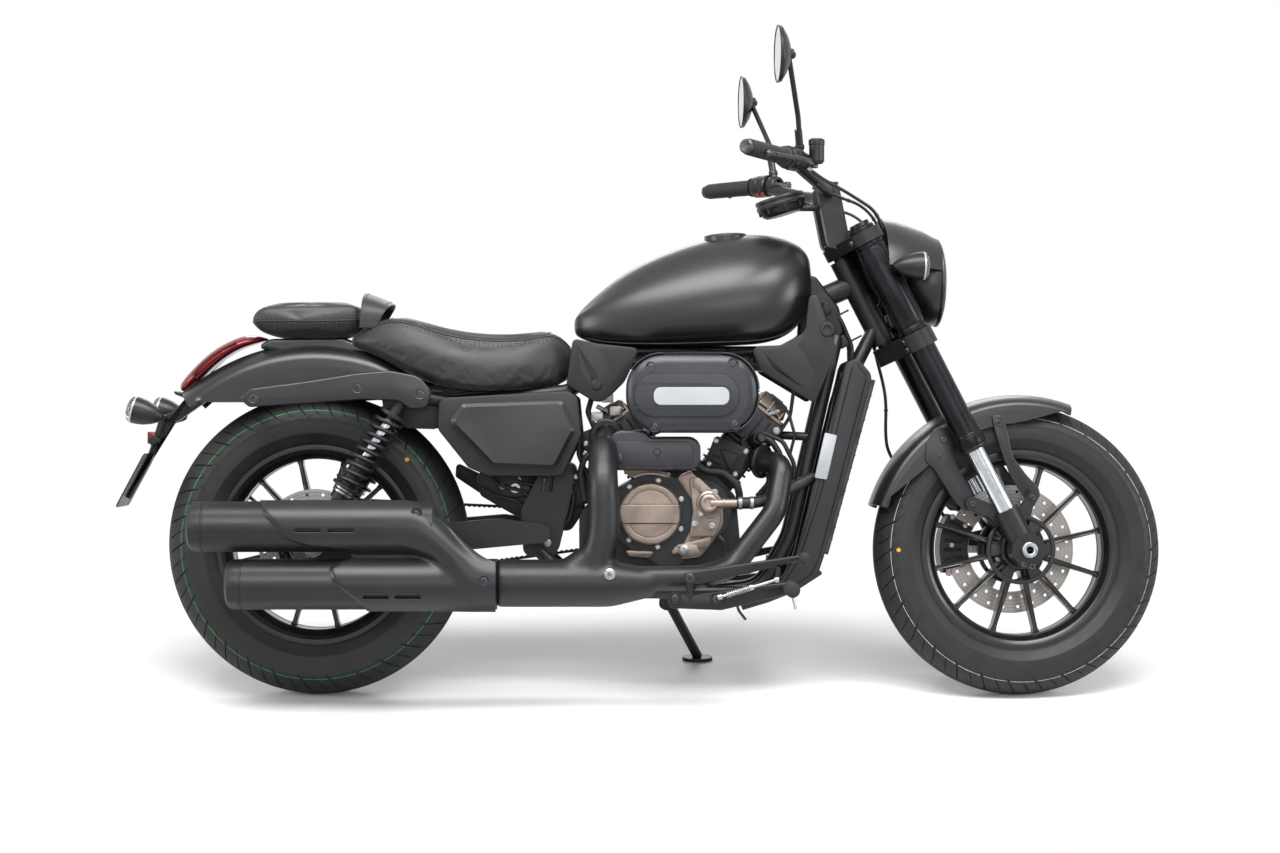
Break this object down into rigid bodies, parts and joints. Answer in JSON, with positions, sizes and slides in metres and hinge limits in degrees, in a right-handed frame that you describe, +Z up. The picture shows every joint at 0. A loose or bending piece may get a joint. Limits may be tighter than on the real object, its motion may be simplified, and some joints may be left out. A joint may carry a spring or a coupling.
{
  "type": "cruiser motorcycle",
  "caption": "Low cruiser motorcycle with an open engine, stacked silencers, belt drive, turning wheels, steering and a folding side stand, parked leaning on it.",
  "frame": {"origin": "floor under the middle of the parked motorcycle's box", "axes": "+X forward, +Y to the rider's left, +Z up; the motorcycle leans 10 degrees toward +Y on its side stand"},
  "size_m": [2.2528, 0.9199, 1.4418],
  "materials": {
    "tyre_rubber": "matt black rubber",
    "wheel_black": "gloss black cast aluminium",
    "disc_steel": "drilled stainless steel",
    "black_metal": "satin black paint",
    "fork_black": "satin black anodised tube",
    "chrome": "polished",
    "steel": "bare steel",
    "paint_black": "satin black body paint",
    "grip_rubber": "moulded rubber",
    "black_plastic": "grained black plastic",
    "glass": "clear lens",
    "red_lens": "red lens",
    "bronze": "dark bronze paint",
    "engine_grey": "dark grey cast alloy",
    "grey_paint": "dark titanium grey paint",
    "leather": "stitched black cover",
    "belt_rubber": "toothed belt"
  },
  "bodies": {
    "frame": {"main_frame": "black_metal", "swingarm": "black_metal", "rear_axle": "steel", "rear_shocks": "black_metal", "shock_springs": "black_metal", "rear_caliper": "black_metal", "drive_belt": "belt_rubber", "crankcase": "engine_grey", "cylinders": "engine_grey", "engine_covers": "bronze", "case_covers": "bronze", "air_cleaner": "grey_paint", "ignition_cover": "grey_paint", "exhaust_pipes": "black_metal", "silencers": "black_metal", "silencer_shield": "grey_paint", "chin_fairing": "black_plastic", "radiator": "black_metal", "fuel_tank": "paint_black", "fuel_cap": "grey_paint", "frame_covers": "black_plastic", "side_housings": "black_plastic", "side_covers": "grey_paint", "rider_seat": "leather", "pillion_seat": "leather", "pillion_strap": "leather", "rear_fender": "paint_black", "fender_struts": "paint_black", "tail_lamp": "red_lens", "rear_bracket": "black_plastic", "foot_controls": "black_metal"},
    "steering": {"yokes": "black_metal", "fork_tubes": "fork_black", "fork_inners": "chrome", "fork_feet": "black_metal", "front_axle": "steel", "front_fender": "paint_black", "front_caliper": "black_metal", "handlebar": "black_metal", "grips": "grip_rubber", "controls": "black_plastic", "mirrors": "black_plastic", "instrument": "black_plastic", "headlamp": "paint_black", "headlamp_lens": "glass", "front_indicators": "black_plastic", "front_hoses": "grip_rubber"},
    "front_wheel": {"front_tyre": "tyre_rubber", "front_rim": "wheel_black", "front_disc": "disc_steel"},
    "rear_wheel": {"rear_tyre": "tyre_rubber", "rear_rim": "wheel_black", "rear_disc": "disc_steel", "rear_pulley": "black_metal"},
    "side_stand": {"side_stand": "black_metal"}
  },
  "joints": [
    {"name": "steering", "type": "hinge", "parent": "frame", "child": "steering", "pos_m": [0.76887, -0.10345, 0.2851], "axis": [-0.4571, 0.1544, 0.8759], "range_deg": [-40, 30]},
    {"name": "front_wheel_spin", "type": "hinge", "parent": "steering", "child": "front_wheel", "pos_m": [0.81433, -0.09499, 0.30733], "axis": [-0.0775, 0.9741, -0.2122], "continuous": true},
    {"name": "rear_wheel_spin", "type": "hinge", "parent": "frame", "child": "rear_wheel", "pos_m": [-0.6965, -0.09706, 0.32134], "axis": [0, 0.9848, -0.1736], "continuous": true},
    {"name": "side_stand_fold", "type": "hinge", "parent": "frame", "child": "side_stand", "pos_m": [0.0585, 0.00346, 0.17161], "axis": [0, 0.9184, 0.3957], "range_deg": [0, 108]}
  ]
}
